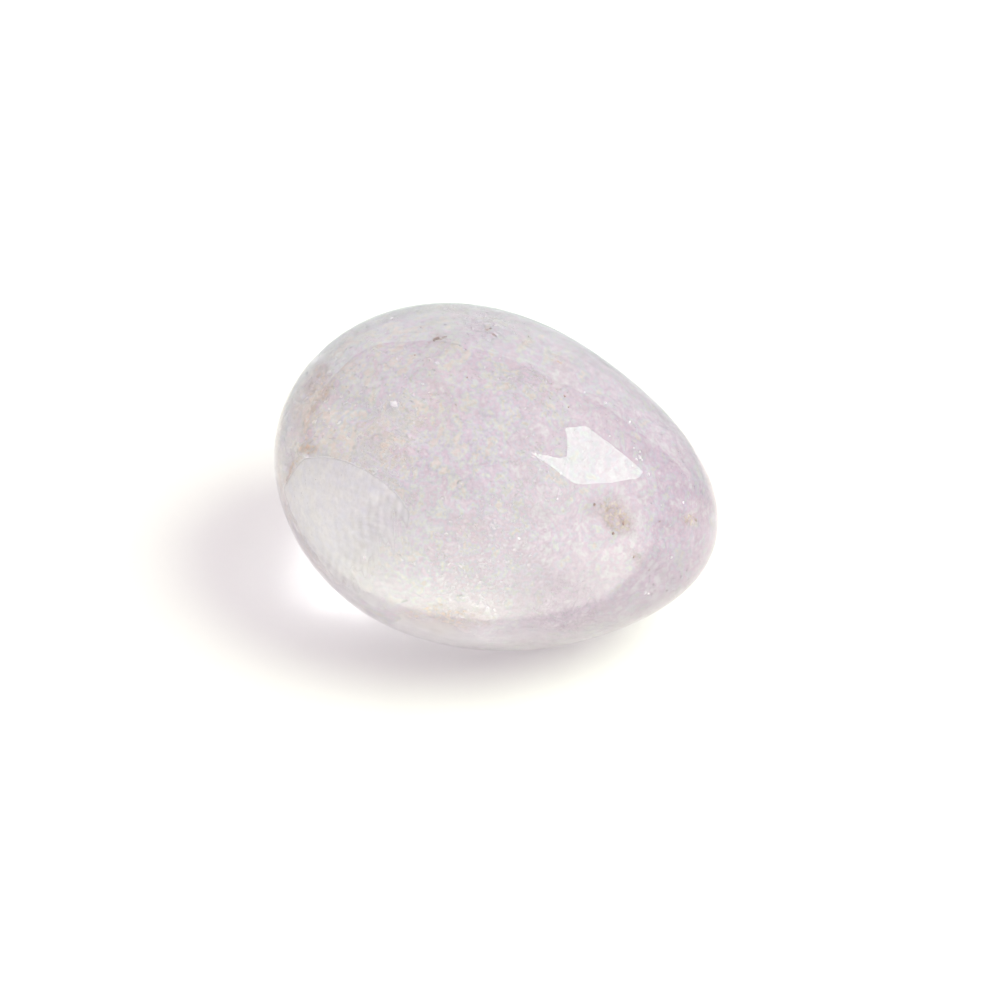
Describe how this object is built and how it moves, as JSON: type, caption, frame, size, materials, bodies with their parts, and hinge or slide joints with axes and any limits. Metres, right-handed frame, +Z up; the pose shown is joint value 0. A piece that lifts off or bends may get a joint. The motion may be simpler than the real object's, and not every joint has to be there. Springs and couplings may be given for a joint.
{
  "type": "clear quartz egg",
  "caption": "Egg-shaped polished stone of clear quartz, blunt at one end and narrower at the other, lying on its side on a small flat spot.",
  "frame": {"origin": "middle of the egg's footprint, on the surface that it rests on", "axes": "+X along the egg's length towards its narrow end, +Z up from the surface it rests on; the egg's own axis leans 9.4 degrees below +X, as an even stone of this shape lies"},
  "size_m": [0.0398, 0.0298, 0.0299],
  "materials": {
    "quartz": "clear natural quartz, polished all over, with cloudy healed fractures and specks of iron stain sealed inside"
  },
  "bodies": {
    "root": {"egg": "quartz"}
  },
  "joints": []
}
